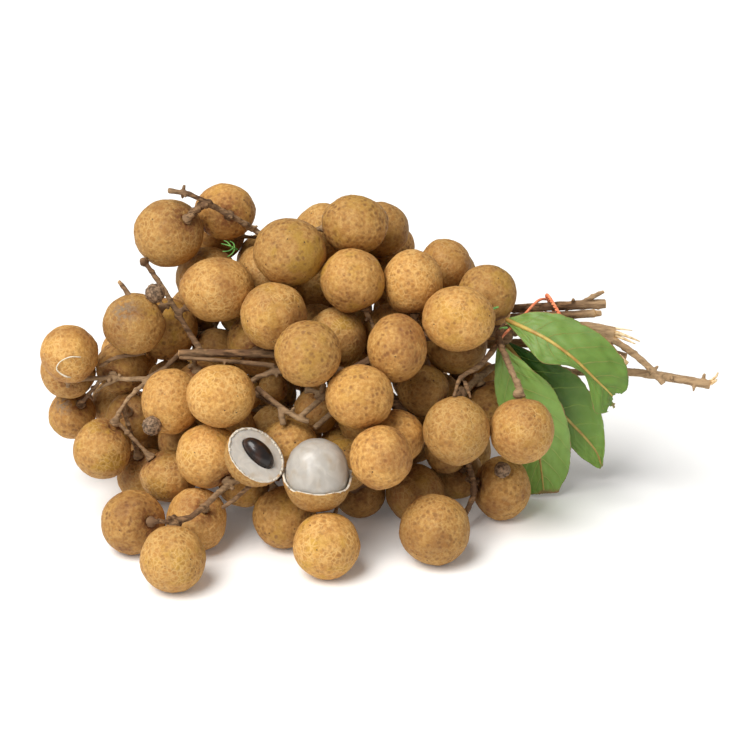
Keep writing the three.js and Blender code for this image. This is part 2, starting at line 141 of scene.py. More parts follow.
# ---- Small wood: each [points on the front], radius at its start, radius at its end ----
EXTRA_TWIGS = {
    "middle_branch": [
        ([(-102.5, 37.5, 0), (-100, 34.5, 2), (-97, 30, 5)], 0.9, 1.3),
        ([(-111, 3.2, -6), (-104, 7, -6), (-92, 9, -5)], 0.8, 1.0),
        ([(-112.7, -6.9, -9), (-109, -4.2, -8), (-102, -1, -7)], 0.7, 0.9),
        ([(-59, -1, 4), (-56, -3.5, 4), (-51, -3.5, 4)], 0.9, 1.2),
        ([(31, -8.5, 20), (34, -1, 12), (42, 4, 6), (50, 14, 3)], 0.8, 1.3),
        ([(-78.5, 8.8, 2), (-60, 8.6, 2), (-40, 8.4, 2)], 1.55, 1.7),
        ([(-78, 7.0, 5), (-64, 6.0, 6), (-54, 5.2, 6), (-40, 3.6, 4)], 0.8, 1.1),
        ([(-59, 6, 6), (-60, 3.8, 8)], 0.7, 0.5),
        ([(-47, -5, 10), (-37, -12.8, 13), (-30, -17.2, 13.5), (-26, -18.5, 13)], 1.2, 1.1),
        ([(-37.6, -12.8, 13), (-36.2, -19.6, 12)], 1.1, 1.4),
        ([(-30, -17.2, 13), (-25, -12.5, 11), (-19.5, -8, 7)], 1.2, 1.3),
        ([(-24, -21, 10), (-16.5, -14.5, 6)], 1.2, 1.3),
        ([(-39, 3, -2), (-50.8, -3.2, 4)], 1.1, 0.9),
        ([(37.5, -9, 19), (35.5, -2.5, 12)], 0.7, 0.9),
        ([(1, -3, -17), (8.5, -11.5, -16), (16, -19, -17)], 2.4, 2.2),
    ],
    "lower_branch": [
        ([(-48.5, -43, 22), (-56, -49.5, 22), (-60, -52, 22)], 1.1, 0.8),
        ([(37, -34, -4), (40, -46, -6), (36, -57, -6)], 1.3, 1.1),
    ],
}
EXTRA_KNOBS = {
    "upper_branch": [((-68, 68.5, -3), 1.8), ((-71, 66.5, -2), 1.7), ((-73.5, 64.5, -1.5), 1.7),
                     ((-70, 68, -5), 2.0), ((-73, 65.5, -5), 2.1), ((-76, 63, -5), 2.0),
                     ((-67, 69, -4), 1.9)],
    "middle_branch": [((-93, 45.5, -6), 1.9), ((-79, 24, -6), 1.8), ((-40, 8.5, -1), 2.4),
                      ((52, 16, -8), 4.0), ((56.8, -7.5, 10), 2.3)],
    "lower_branch": [((-34, -40, -6), 2.0), ((40, -46, -8), 1.8)],
}

# ---- Where a stalk or twig is cut through: place, the way the cut faces, how far it reaches ----
CUT_ENDS = {
    "upper_branch": [((94, 29, -18), (1, 0.1, 0), 3.5), ((93, 34, -15), (1, 0.4, 0), 2.0)],
    "second_branch": [((89, 25, -12), (1, 0, 0), 3.0)],
    "middle_branch": [((97, 17, -12), (1, 0, 0), 4.0), ((-102.5, 37.5, 0), (-1, 1, 0), 2.0),
                      ((-78.5, 8.8, 2), (-1, 0, 0), 2.2)],
    "lower_branch": [((136, -4, -14), (1, -0.1, 0), 4.0)],
    "back_branch": [((102.5, 7, -19), (1, 0, 0), 3.0)],
}

# ---- Leaves: two edges and the rib between, from their stalk to their tip ----
LEAVES = {
    "top_leaf": {
        "upper": [(53.5, 22.5, -3), (62, 25, 1), (75, 24, 3), (90, 16, 5), (99, 6, 5), (101, -4, 3),
                  (97, -9, 1)],
        "rib": [(53, 22, -3), (62, 17.5, 5), (70, 13, 8), (80, 5.5, 9), (88, -2, 6), (93, -6.5, 3),
                (96, -9.5, 0)],
        "lower": [(52.5, 21.5, -3), (60, 12, 7), (66, 5, 10), (77, 3.5, 9), (84, -1, 5), (88, -15, 3),
                  (96, -13, -1)],
        "bites": [((97.5, -9.5, 1), 2.6), ((94, -14, 0), 1.6)],
        "rib_ends": 0.93,
        "seed": 2,
    },
    "front_leaf": {
        "upper": [(50, 13, -4), (61, 4, -2), (72, -6, -6), (79, -22, -17), (80, -38, -30), (76, -48.5, -35)],
        "rib": [(49.5, 12.5, -4), (55, 2, -4), (61, -12, -6), (65, -24, -14), (68, -37, -26),
                (70, -49, -35)],
        "lower": [(49, 12, -4), (48, -4, -4), (51, -18, -8), (56, -35, -27), (60, -48, -37),
                  (65, -49.5, -35)],
        "bites": [((62, -50, -37), 2.0)],
        "rib_ends": 0.97,
        "seed": 5,
    },
    "back_leaf": {
        "upper": [(53, 14, -9), (68, 7, -12), (82, 0, -16), (92, -14, -24), (95, -27, -34), (95, -38, -43)],
        "rib": [(52.5, 13.5, -10), (62, 2, -14), (74, -13, -21), (86, -25, -31), (92, -32, -38),
                (94.5, -38, -43)],
        "lower": [(52, 13, -11), (57, -4, -18), (68, -18, -25), (80, -29, -34), (88, -36, -41),
                  (94, -39, -43.5)],
        "bites": [],
        "rib_ends": 0.97,
        "seed": 9,
    },
}

# ---- Small things that lie on the bunch ----
DRIED_FRUITLETS = [((-87.5, 32.5, 5.5), 3.9), ((-88, -20, 13.5), 3.8), ((51, -38, -2), 3.2)]
TWINE_TAIL = [(71, 31, -22), (66, 30, -14), (58, 22, -6), (51.5, 16, -1), (50.5, 14, 1)]


# ---- Studio ----
CAMERA_DISTANCE = 1.0
CAMERA_LENS = 120  # millimetres, on a 36 mm sensor
CAMERA_NEAREST = 0.05
WORLD_STRENGTH = 0.36
OVERHEAD_PLACE = Vector((-0.42, -0.38, 1.0))
OVERHEAD_STRENGTH = 3.22
OVERHEAD_ANGLE = math.radians(38)
OVERHEAD_COLOR = (1.0, 0.985, 0.96)
WINDOW_PLACE = Vector((-0.5, -0.9, 0.75))
WINDOW_AIM = Vector((0, 0, 0.05))
WINDOW_SIZE = 0.35
WINDOW_POWER = 3.5
FLOOR_HALF = 4
FLOOR_COLOR = (0.92, 0.92, 0.91)
FLOOR_GLOW = 0.06


def aim(thing, place, target):
    thing.location = place
    thing.rotation_euler = (target - place).to_track_quat("-Z", "Y").to_euler()
    bpy.context.scene.collection.objects.link(thing)


def add_camera():
    camera = bpy.data.objects.new("camera", bpy.data.cameras.new("camera"))
    camera.data.lens = CAMERA_LENS
    camera.data.clip_start = CAMERA_NEAREST
    aim(camera, FRONT_MIDDLE + OUT * CAMERA_DISTANCE, FRONT_MIDDLE)
    bpy.context.scene.camera = camera


def add_window():
    window = bpy.data.lights.new("window", "AREA")
    window.shape = "DISK"
    window.size = WINDOW_SIZE
    window.energy = WINDOW_POWER
    aim(bpy.data.objects.new("window", window), WINDOW_PLACE, WINDOW_AIM)


def add_overhead_light():
    overhead = bpy.data.lights.new("overhead", "SUN")
    overhead.energy = OVERHEAD_STRENGTH
    overhead.angle = OVERHEAD_ANGLE
    overhead.color = OVERHEAD_COLOR
    aim(bpy.data.objects.new("overhead", overhead), OVERHEAD_PLACE, Vector())


def add_floor():
    mesh = bpy.data.meshes.new("floor")
    bm = bmesh.new()
    bmesh.ops.create_grid(bm, x_segments=1, y_segments=1, size=FLOOR_HALF)
    bm.to_mesh(mesh)
    bm.free()
    floor = bpy.data.objects.new("floor", mesh)
    bpy.context.scene.collection.objects.link(floor)
    material, _, surface = new_material("pale_floor")
    surface.inputs["Base Color"].default_value = (*FLOOR_COLOR, 1)
    surface.inputs["Emission Color"].default_value = (1, 1, 1, 1)
    surface.inputs["Emission Strength"].default_value = FLOOR_GLOW
    surface.inputs["Roughness"].default_value = 0.6
    mesh.materials.append(material)


def add_studio():
    scene = bpy.context.scene
    scene.view_settings.view_transform = "Standard"
    world = bpy.data.worlds.new("studio")
    world.use_nodes = True
    world.node_tree.nodes["Background"].inputs["Color"].default_value = (1, 1, 1, 1)
    world.node_tree.nodes["Background"].inputs["Strength"].default_value = WORLD_STRENGTH
    scene.world = world
    add_overhead_light()
    add_window()
    add_floor()


# ---- Small node-graph helpers. Sizes of noises and cells are in metres ----
MIX_FACTOR, MIX_ONE, MIX_OTHER, MIX_RESULT = 0, 6, 7, 2  # sockets of a mix node that mixes colours


def new_material(name):
    material = bpy.data.materials.new(name)
    material.use_nodes = True
    tree = material.node_tree
    return material, tree, tree.nodes["Principled BSDF"]


def node(tree, kind, **settings):
    made = tree.nodes.new(kind)
    for key, value in settings.items():
        setattr(made, key, value)
    return made


def object_points(tree, stretch=(1, 1, 1)):
    source = node(tree, "ShaderNodeTexCoord").outputs["Object"]
    scaled = node(tree, "ShaderNodeMapping")
    scaled.inputs["Scale"].default_value = stretch
    tree.links.new(source, scaled.inputs["Vector"])
    return scaled.outputs["Vector"]


def noise_of(tree, points, size, detail=3.0, rough=0.55, distortion=0.0):
    made = node(tree, "ShaderNodeTexNoise")
    made.inputs["Scale"].default_value = 1 / size
    made.inputs["Detail"].default_value = detail
    made.inputs["Roughness"].default_value = rough
    made.inputs["Distortion"].default_value = distortion
    tree.links.new(points, made.inputs["Vector"])
    return made.outputs["Fac"]


def cells_of(tree, points, size, feature="F1"):
    made = node(tree, "ShaderNodeTexVoronoi", feature=feature)
    made.inputs["Scale"].default_value = 1 / size
    tree.links.new(points, made.inputs["Vector"])
    return made.outputs["Distance"]


def bend_points(tree, points, size, reach):
    """The points shifted about by a noise, so that what reads them isn't too regular."""
    drift = node(tree, "ShaderNodeTexNoise")
    drift.inputs["Scale"].default_value = 1 / size
    tree.links.new(points, drift.inputs["Vector"])
    shifted = node(tree, "ShaderNodeVectorMath", operation="MULTIPLY_ADD")
    shifted.inputs[1].default_value = (reach, reach, reach)
    tree.links.new(drift.outputs["Color"], shifted.inputs[0])
    tree.links.new(points, shifted.inputs[2])
    return shifted.outputs[0]


def ramp(tree, value, low, high, to_low=0.0, to_high=1.0):
    made = node(tree, "ShaderNodeMapRange", interpolation_type="SMOOTHSTEP")
    made.inputs["From Min"].default_value = low
    made.inputs["From Max"].default_value = high
    made.inputs["To Min"].default_value = to_low
    made.inputs["To Max"].default_value = to_high
    tree.links.new(value, made.inputs["Value"])
    return made.outputs["Result"]


def combine(tree, operation, one, other):
    made = node(tree, "ShaderNodeMath", operation=operation)
    for socket, value in zip(made.inputs, (one, other)):
        if isinstance(value, (int, float)):
            socket.default_value = value
        else:
            tree.links.new(value, socket)
    return made.outputs["Value"]


def times(tree, one, other):
    return combine(tree, "MULTIPLY", one, other)


def blend_colors(tree, factor, one, other):
    made = node(tree, "ShaderNodeMix", data_type="RGBA")
    tree.links.new(factor, made.inputs[MIX_FACTOR])
    for socket, value in zip((made.inputs[MIX_ONE], made.inputs[MIX_OTHER]), (one, other)):
        if isinstance(value, tuple):
            socket.default_value = (*value, 1)
        else:
            tree.links.new(value, socket)
    return made.outputs[MIX_RESULT]


def attribute_parts(tree, name):
    source = node(tree, "ShaderNodeVertexColor", layer_name=name)
    parts = node(tree, "ShaderNodeSeparateColor")
    tree.links.new(source.outputs["Color"], parts.inputs["Color"])
    return parts.outputs["Red"], parts.outputs["Green"], parts.outputs["Blue"]


def add_bump(tree, surface, height, strength, distance):
    bump = node(tree, "ShaderNodeBump")
    bump.inputs["Strength"].default_value = strength
    bump.inputs["Distance"].default_value = distance
    tree.links.new(height, bump.inputs["Height"])
    tree.links.new(bump.outputs["Normal"], surface.inputs["Normal"])


# ---- Finishes ----
HUSK_TAN = (0.43, 0.205, 0.048)
HUSK_PALE = (0.58, 0.325, 0.095)
HUSK_GOLD = (0.46, 0.26, 0.035)
HUSK_NET = (0.62, 0.38, 0.13)
HUSK_SPOT = (0.20, 0.085, 0.022)
HUSK_RUST = (0.165, 0.048, 0.013)
HUSK_SCAR = (0.27, 0.185, 0.11)
HUSK_SPECK = (0.035, 0.02, 0.012)


BARK_DARK = (0.058, 0.028, 0.012)
BARK_LIGHT = (0.27, 0.15, 0.07)
BARK_BLOTCH = (0.13, 0.068, 0.034)
BARK_DUST = (0.40, 0.265, 0.145)
FRESH_CUT = (0.60, 0.36, 0.16)
LINING_WHITE = (0.66, 0.60, 0.50)
LINING_STAIN = (0.44, 0.27, 0.13)
SEED_BLACK = (0.010, 0.006, 0.005)
SEED_CLOUD = (0.035, 0.014, 0.008)
LEAF_BROWN = (0.30, 0.17, 0.07)
LEAF_SPECK = (0.10, 0.06, 0.04)


def husk_spots(tree, points, spotted):
    """Where the husk is darkly spotted, and the plain husk that nets the spots."""
    net = ramp(tree, cells_of(tree, bend_points(tree, points, 0.0033, 0.0015), 0.0022), 0.16, 0.52)
    patchy = ramp(tree, noise_of(tree, points, 0.008, 3.0), 0.36, 0.60, 0.25, 1.0)
    depth = times(tree, patchy, ramp(tree, spotted, 0.0, 1.0, 0.4, 0.8))
    return times(tree, combine(tree, "SUBTRACT", 1.0, net), depth), net


def husk_seams(tree, points, spotted):
    """Pale lines between the husk's small plates, faint where it is spotted."""
    edges = cells_of(tree, bend_points(tree, points, 0.0018, 0.0011), 0.0023, "DISTANCE_TO_EDGE")
    patchy = ramp(tree, noise_of(tree, points, 0.009, 2.0), 0.38, 0.6, 0.1, 1.0)
    seams = times(tree, ramp(tree, edges, 0.16, 0.02, 0.0, 0.75), patchy)
    return times(tree, seams, ramp(tree, spotted, 0.3, 0.9, 1.0, 0.15))


def husk_specks(tree, points):
    near = ramp(tree, cells_of(tree, points, 0.0042), 0.10, 0.05)
    return times(tree, near, ramp(tree, noise_of(tree, points, 0.006, 1.0), 0.5, 0.56))


def husk_material():
    """Thin matt husk: a pale net round darker spots, golden patches, rust at the stem, grey scars."""
    material, tree, surface = new_material("husk")
    at_stem, scarred, tone = attribute_parts(tree, "marks")
    golden, rusty, spotted = attribute_parts(tree, "kind")
    points = object_points(tree)

    pale = ramp(tree, noise_of(tree, points, 0.0016, 2.0), 0.35, 0.7)
    color = blend_colors(tree, pale, HUSK_TAN, HUSK_PALE)
    gold = ramp(tree, noise_of(tree, points, 0.011, 2.0), 0.48, 0.66, 0.0, 0.85)
    color = blend_colors(tree, times(tree, gold, golden), color, HUSK_GOLD)
    spots, net = husk_spots(tree, points, spotted)
    color = blend_colors(tree, spots, color, HUSK_SPOT)
    seams = husk_seams(tree, points, spotted)
    color = blend_colors(tree, seams, color, HUSK_NET)
    grain = ramp(tree, noise_of(tree, points, 0.0006, 4.0, 0.7), 0.48, 0.68, 0.0, 0.38)
    color = blend_colors(tree, grain, color, HUSK_SPOT)

    streaks = ramp(tree, noise_of(tree, points, 0.002, 3.0), 0.34, 0.58, 0.3, 1.0)
    blush = ramp(tree, noise_of(tree, points, 0.016, 1.0), 0.45, 0.7, 0.0, 0.5)
    rust = combine(tree, "MAXIMUM", times(tree, at_stem, streaks),
                   times(tree, blush, rusty))
    color = blend_colors(tree, rust, color, HUSK_RUST)
    worn = times(tree, scarred, ramp(tree, noise_of(tree, points, 0.0018, 4.0), 0.42, 0.55))
    color = blend_colors(tree, worn, color, HUSK_SCAR)
    color = blend_colors(tree, husk_specks(tree, points), color, HUSK_SPECK)

    toned = node(tree, "ShaderNodeVectorMath", operation="SCALE")
    tree.links.new(color, toned.inputs[0])
    tree.links.new(ramp(tree, tone, 0.0, 1.0, 0.82, 1.15), toned.inputs["Scale"])
    tree.links.new(toned.outputs[0], surface.inputs["Base Color"])
    tree.links.new(ramp(tree, streaks, 0.25, 0.9, 0.58, 0.75), surface.inputs["Roughness"])
    surface.inputs["Specular IOR Level"].default_value = 0.35
    height = combine(tree, "ADD", times(tree, net, 0.6),
                     times(tree, noise_of(tree, points, 0.0008, 4.0, 0.7), 1.1))
    height = combine(tree, "SUBTRACT", height, times(tree, seams, 0.5))
    add_bump(tree, surface, combine(tree, "SUBTRACT", height, worn), 0.7, 0.00028)
    return material


def bark_material():
    """Dry twig bark: brown and grey lengthwise streaks, pale at cut ends, dark in the pits."""
    material, tree, surface = new_material("bark")
    cut, grey, _ = attribute_parts(tree, "bark")
    points = object_points(tree)
    streaks = noise_of(tree, object_points(tree, (0.25, 1, 1)), 0.0011, 4.0)
    blotches = noise_of(tree, points, 0.005, 3.0)
    color = blend_colors(tree, ramp(tree, streaks, 0.35, 0.68), BARK_DARK, BARK_LIGHT)
    color = blend_colors(tree, ramp(tree, blotches, 0.45, 0.65), color, BARK_BLOTCH)
    dusty = times(tree, grey, ramp(tree, streaks, 0.3, 0.6, 0.5, 1.0))
    color = blend_colors(tree, dusty, color, BARK_DUST)
    color = blend_colors(tree, cut, color, FRESH_CUT)
    tree.links.new(color, surface.inputs["Base Color"])
    surface.inputs["Roughness"].default_value = 0.85
    surface.inputs["Specular IOR Level"].default_value = 0.25
    pits = combine(tree, "ADD", streaks, times(tree, blotches, 0.6))
    add_bump(tree, surface, pits, 0.8, 0.0004)
    return material


def flesh_material(name, color, depth, clearness):
    """Wet translucent flesh with faint veins under a smooth skin."""
    material, tree, surface = new_material(name)
    points = object_points(tree)
    veins = noise_of(tree, object_points(tree, (1, 1, 0.7)), 0.005, 3.0, distortion=1.5)
    clouds = noise_of(tree, points, 0.008, 2.0)
    milky = tuple(1.18 * channel for channel in color)
    amber = (0.85 * color[0], 0.68 * color[1], 0.46 * color[2])
    tint = blend_colors(tree, ramp(tree, veins, 0.36, 0.72), color, milky)
    tint = blend_colors(tree, ramp(tree, clouds, 0.5, 0.72, 0.0, 0.7), tint, amber)
    tree.links.new(tint, surface.inputs["Base Color"])
    surface.inputs["Transmission Weight"].default_value = clearness
    surface.inputs["IOR"].default_value = 1.38
    surface.inputs["Subsurface Weight"].default_value = 0.45
    surface.inputs["Subsurface Radius"].default_value = (1.0, 0.85, 0.65)
    surface.inputs["Subsurface Scale"].default_value = depth
    surface.inputs["Roughness"].default_value = 0.36
    surface.inputs["Coat Weight"].default_value = 0.4
    surface.inputs["Coat Roughness"].default_value = 0.26
    add_bump(tree, surface, veins, 0.14, 0.0004)
    return material


def inner_husk_material():
    """The husk's lining and torn edge: chalky white, browning in places."""
    material, tree, surface = new_material("husk_lining")
    points = object_points(tree)
    stain = ramp(tree, noise_of(tree, points, 0.0025, 3.0), 0.5, 0.72)
    color = blend_colors(tree, stain, LINING_WHITE, LINING_STAIN)
    tree.links.new(color, surface.inputs["Base Color"])
    surface.inputs["Roughness"].default_value = 0.6
    add_bump(tree, surface, noise_of(tree, points, 0.0006, 3.0), 0.4, 0.0001)
    return material


def seed_material():
    """Polished, nearly black seed coat with a faint brown cloud."""
    material, tree, surface = new_material("seed_coat")
    cloud = ramp(tree, noise_of(tree, object_points(tree), 0.004, 2.0), 0.4, 0.7)
    color = blend_colors(tree, cloud, SEED_BLACK, SEED_CLOUD)
    tree.links.new(color, surface.inputs["Base Color"])
    surface.inputs["Roughness"].default_value = 0.3
    surface.inputs["Specular IOR Level"].default_value = 0.35
    surface.inputs["Coat Weight"].default_value = 0.25
    surface.inputs["Coat Roughness"].default_value = 0.1
    return material


def leaf_material(name, near_base, near_tip, vein):
    """A leaf read along and across its blade: side veins sweeping forward, browning at its rim."""
    material, tree, surface = new_material(name)
    uv = node(tree, "ShaderNodeUVMap", uv_map="blade")
    split = node(tree, "ShaderNodeSeparateXYZ")
    tree.links.new(uv.outputs["UV"], split.inputs[0])
    along = split.outputs["X"]
    aside = combine(tree, "ABSOLUTE", combine(tree, "SUBTRACT", split.outputs["Y"], 0.5), 0.0)
    points = object_points(tree)
    wobble = times(tree, noise_of(tree, points, 0.012, 2.0), 0.5)
    swept = times(tree, combine(tree, "POWER", aside, VEIN_BEND), VEIN_SWEEP)
    straight = combine(tree, "SUBTRACT", times(tree, along, SIDE_VEINS), swept)
    line = combine(tree, "PINGPONG", combine(tree, "ADD", straight, wobble), 0.5)
    vein_mask = ramp(tree, line, 0.055, 0.01)
    vein_mask = times(tree, vein_mask, ramp(tree, aside, 0.5, 0.1, 0.25, 1.0))
    mottle = noise_of(tree, points, 0.006, 4.0)
    # Colour runs from the base to the tip. On the back leaf the dark base colour is painted shade as well as
    # the leaf's own green.
    color = blend_colors(tree, ramp(tree, along, 0.1, 0.95), near_base, near_tip)
    color = blend_colors(tree, ramp(tree, mottle, 0.42, 0.68, 0.0, 0.35), color,
                         tuple(0.62 * c for c in near_tip))
    cushion = ramp(tree, line, 0.0, 0.5, 0.0, 0.12)
    color = blend_colors(tree, cushion, color, tuple(min(1.0, 1.5 * c) for c in near_base))
    color = blend_colors(tree, times(tree, vein_mask, 0.85), color, vein)
    rim = times(tree, ramp(tree, aside, 0.482, 0.498),
                  ramp(tree, noise_of(tree, points, 0.008, 2.0), 0.45, 0.6, 0.25, 1.0))
    tip = times(tree, ramp(tree, along, 0.955, 0.99), ramp(tree, mottle, 0.4, 0.6, 0.4, 1.0))
    color = blend_colors(tree, combine(tree, "MAXIMUM", rim, tip), color, LEAF_BROWN)
    speck = ramp(tree, cells_of(tree, points, 0.011), 0.055, 0.035)
    color = blend_colors(tree, times(tree, speck, 0.75), color, LEAF_SPECK)
    tree.links.new(color, surface.inputs["Base Color"])
    surface.inputs["Roughness"].default_value = 0.5
    surface.inputs["Specular IOR Level"].default_value = 0.35
    surface.inputs["Subsurface Weight"].default_value = 0.15
    surface.inputs["Subsurface Scale"].default_value = 0.001
    height = combine(tree, "ADD", times(tree, vein_mask, 1.2),
                     times(tree, noise_of(tree, points, 0.0012, 3.0), 0.25))
    add_bump(tree, surface, height, 0.5, 0.0003)
    return material


def plain_fibre(name, dark, light, size, roughness):
    """A fibre whose colour runs between two tints."""
    material, tree, surface = new_material(name)
    grain = ramp(tree, noise_of(tree, object_points(tree), size, 4.0), 0.35, 0.65)
    tree.links.new(blend_colors(tree, grain, dark, light), surface.inputs["Base Color"])
    surface.inputs["Roughness"].default_value = roughness
    add_bump(tree, surface, grain, 0.4, 0.0001)
    return material


HUSK = husk_material()
BARK = bark_material()
FLESH = flesh_material("flesh", (0.50, 0.462, 0.41), 0.004, 0.22)
CUT_FLESH = flesh_material("cut_flesh", (0.58, 0.535, 0.475), 0.003, 0.1)
LINING = inner_husk_material()
SEED = seed_material()
PALE_LEAF = leaf_material("pale_underside", (0.155, 0.25, 0.052), (0.105, 0.195, 0.028), (0.22, 0.24, 0.055))
# The front leaf's underside is a lighter green than the top leaf's. This is painted light that makes up for
# the shade the top leaf and the fruits cast on it.
LEAF_WITH_PAINTED_LIGHT = leaf_material("underside_with_painted_light", (0.235, 0.38, 0.085), (0.21, 0.36, 0.065), (0.36, 0.40, 0.10))
# The back leaf's upper side runs from a near-black green at its base to a light green at its tip. The base
# is its own deeper green, darkened with painted shade where the top leaf shades it.
LEAF_WITH_PAINTED_SHADE = leaf_material("upper_side_with_painted_shade", (0.016, 0.066, 0.002), (0.24, 0.41, 0.07), (0.20, 0.30, 0.05))
RIB = plain_fibre("leaf_rib", (0.36, 0.20, 0.04), (0.52, 0.38, 0.09), 0.006, 0.5)
TWINE = plain_fibre("coral_twine", (0.72, 0.16, 0.06), (0.90, 0.34, 0.16), 0.0008, 0.7)
TORN_BARK = plain_fibre("torn_bark", (0.58, 0.38, 0.17), (0.84, 0.68, 0.44), 0.002, 0.8)
TENDRIL = plain_fibre("pale_tendril", (0.62, 0.55, 0.40), (0.80, 0.74, 0.60), 0.002, 0.6)
SHOOT = plain_fibre("green_shoot", (0.06, 0.20, 0.03), (0.16, 0.38, 0.08), 0.002, 0.5)
DRIED = plain_fibre("dried_fruitlet", (0.07, 0.04, 0.02), (0.30, 0.19, 0.11), 0.0012, 0.85)

LEAF_FINISHES = {"top_leaf": PALE_LEAF, "front_leaf": LEAF_WITH_PAINTED_LIGHT, "back_leaf": LEAF_WITH_PAINTED_SHADE}
STRANDS = [
    ("pale_tendril", TENDRIL, "bark", [
        ([(-117, 0, 0), (-121.7, -0.8, 9), (-125.8, 2, 11), (-124.4, 5.1, 13), (-120.4, 7.1, 13.4),
          (-116.2, 7.1, 12)], 0.35, 0.2),
    ]),
    ("frayed_fibres", TORN_BARK, "bark", [
        ([(95, 18, -11), (101, 16, -10), (107, 13.5, -9)], 1.0, 0.25),
        ([(95, 17, -12), (102, 14, -10), (105, 12.5, -8)], 0.8, 0.2),
        ([(96, 19, -12), (100, 18.5, -10), (104, 18, -10)], 0.6, 0.2),
        ([(134, -3.5, -14), (138, -1, -14), (139, 1, -13)], 0.7, 0.35),
        ([(134, -4, -14), (138.5, -2, -13), (136, -4, -12)], 0.6, 0.3),
        ([(98.5, 7.5, -11), (100, 6, -10), (102, 4.5, -10)], 1.4, 1.1),
    ]),
    ("green_shoots", SHOOT, "leaf", [
        ([(-55.5, 50.5, -9), (-58.5, 52, -8), (-62, 53, -8)], 0.45, 0.2),
        ([(-57, 51.2, -8.5), (-59, 50, -8), (-61.5, 49.8, -8)], 0.4, 0.2),
        ([(-56.5, 50.8, -8.5), (-57.5, 49, -8), (-59.5, 47.6, -8)], 0.4, 0.2),
        ([(-58, 51.8, -8), (-59.5, 53.6, -8), (-61, 54.2, -8)], 0.35, 0.2),
        ([(-56.5, 51, -8), (-57, 53, -8), (-58.5, 54, -8)], 0.35, 0.2),
        ([(44.5, 24, 8), (46.5, 26, 9), (49, 27, 9)], 0.9, 0.4),
        ([(49, 17, 0), (50.5, 18.5, 1), (53, 19, 1)], 0.9, 0.4),
    ]),
]


# ---- Making pieces ----
def finish_piece(bm, name, materials, slot, replaced=()):
    """Turns a bmesh into a smooth-shaded piece of the bunch, and hides the nodes it stands for."""
    mesh = bpy.data.meshes.new(name)
    bm.to_mesh(mesh)
    bm.free()
    for material in materials:
        mesh.materials.append(material)
    mesh.polygons.foreach_set("use_smooth", [True] * len(mesh.polygons))
    piece = bpy.data.objects.new(name, mesh)
    bpy.context.scene.collection.objects.link(piece)
    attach(piece, "root")
    if replaced:
        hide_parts(*replaced)
    return piece


def apply_modifiers(piece):
    graph = bpy.context.evaluated_depsgraph_get()
    finished = bpy.data.meshes.new_from_object(piece.evaluated_get(graph))
    rough = piece.data
    piece.modifiers.clear()
    piece.data = finished
    bpy.data.meshes.remove(rough)
    finished.name = piece.name


def remake_skin(piece, voxel, rounds):
    """Joins the overlapping parts of a piece under one even skin, and softens it."""
    remesh = piece.modifiers.new("union", "REMESH")
    remesh.mode = "VOXEL"
    remesh.voxel_size = voxel
    remesh.use_smooth_shade = True
    smooth = piece.modifiers.new("soften", "SMOOTH")
    smooth.factor = 0.5
    smooth.iterations = rounds
    apply_modifiers(piece)


def merged_copy(name):
    """A node's CAD mesh as a bmesh whose loose triangles are joined."""
    bm = bmesh.new()
    bm.from_mesh(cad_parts[name].data)
    bmesh.ops.remove_doubles(bm, verts=bm.verts, dist=MERGE)
    return bm


def along_line(points, share):
    """The place at a share of the way along a smooth line through listed points."""
    last = len(points) - 1
    position = min(max(share, 0.0), 1.0) * last
    i = min(int(position), last - 1)
    t = position - i
    before = points[i - 1] if i > 0 else points[i] * 2 - points[i + 1]
    after = points[i + 2] if i + 2 <= last else points[i + 1] * 2 - points[i]
    start, end = points[i], points[i + 1]
    return 0.5 * (2 * start + (end - before) * t + (2 * before - 5 * start + 4 * end - after) * t ** 2
                  + (3 * start - before - 3 * end + after) * t ** 3)


def smooth_line(points, steps_between):
    steps = steps_between * (len(points) - 1)
    return [along_line(points, i / steps) for i in range(steps + 1)]


def edges_within(verts):
    inside = set(verts)
    return list(dict.fromkeys(edge for vert in verts for edge in vert.link_edges
                              if edge.other_vert(vert) in inside))


def sweep(bm, line, radii, sides=8, closed=False):
    """A rod along a line of close points: rings set across it and bridged."""
    across = None
    rings = []
    count = len(line)
    for i, place in enumerate(line):
        ahead = line[(i + 1) % count] if closed else line[min(i + 1, count - 1)]
        behind = line[i - 1] if closed else line[max(i - 1, 0)]
        way = (ahead - behind).normalized()
        if across is None:
            across = way.orthogonal()
        across = (across - way * across.dot(way)).normalized()
        turn = Matrix((across, way.cross(across), way)).transposed().to_4x4()
        place_it = Matrix.Translation(place) @ turn
        rings.append(bmesh.ops.create_circle(bm, segments=sides, radius=radii[i], matrix=place_it)["verts"])
    faces = []
    ring_edges = [edges_within(ring) for ring in rings]
    pairs = list(zip(ring_edges, ring_edges[1:]))
    if closed:
        pairs.append((ring_edges[-1], ring_edges[0]))
    for one, other in pairs:
        faces += bmesh.ops.bridge_loops(bm, edges=one + other)["faces"]
    if not closed:
        for edges in (ring_edges[0], ring_edges[-1]):
            faces += bmesh.ops.contextual_create(bm, geom=edges)["faces"]
    bmesh.ops.recalc_face_normals(bm, faces=faces)


def add_limb(bm, points, radius_from, radius_to, sides=8, steps_between=4):
    line = smooth_line(points, steps_between)
    last = len(line) - 1
    radii = [radius_from + (radius_to - radius_from) * i / last for i in range(last + 1)]
    sweep(bm, line, radii, sides)


def add_ball(bm, place, radius, subdivisions=2):
    there = Matrix.Translation(place)
    bmesh.ops.create_icosphere(bm, subdivisions=subdivisions, radius=radius, matrix=there)


def bell(distance, width):
    return math.exp(-(distance / width) ** 2)


# ---- Which fruits there are, read from the frame ----
def extents(points, axes):
    """The middle and the half sizes of some points along three axes."""
    middle, halves = Vector(), []
    for axis in axes:
        reach = [point.dot(axis) for point in points]
        middle += axis * (max(reach) + min(reach)) / 2
        halves.append((max(reach) - min(reach)) / 2)
    return middle, halves


